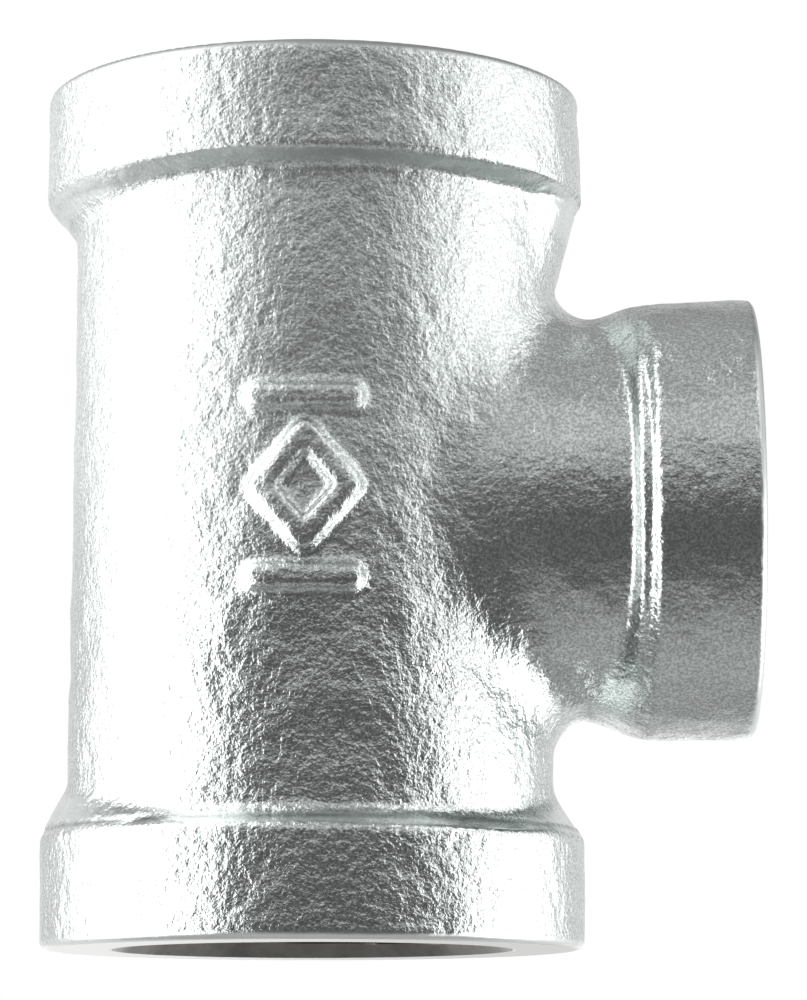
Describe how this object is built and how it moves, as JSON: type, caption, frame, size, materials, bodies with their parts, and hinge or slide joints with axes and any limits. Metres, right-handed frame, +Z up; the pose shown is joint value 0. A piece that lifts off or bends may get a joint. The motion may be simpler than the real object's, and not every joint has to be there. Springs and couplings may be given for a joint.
{
  "type": "reducing pipe tee",
  "caption": "Galvanised malleable-iron reducing tee with banded ends: a straight threaded run and a smaller threaded branch at right angles.",
  "frame": {"origin": "centre of the bounding box's bottom, in the plane of the lower run port's face; the run's axis is at x = -6.008 mm, y = 0", "axes": "+Z up the run from the lower port to the upper port, +X out of the branch port, -Y the marked front of the body; the branch's axis is at z = 30.2 mm"},
  "size_m": [0.05, 0.038, 0.0604],
  "materials": {
    "galvanised_zinc": "hot-dip galvanised over a sand-cast skin, bright grey, finely pitted",
    "bare_machined_iron": "bare machined thread, darker, with a film of cutting oil"
  },
  "bodies": {
    "root": {"tee_casting": "galvanised_zinc", "run_thread_upper": "bare_machined_iron", "run_thread_lower": "bare_machined_iron", "branch_thread": "bare_machined_iron"}
  },
  "joints": []
}
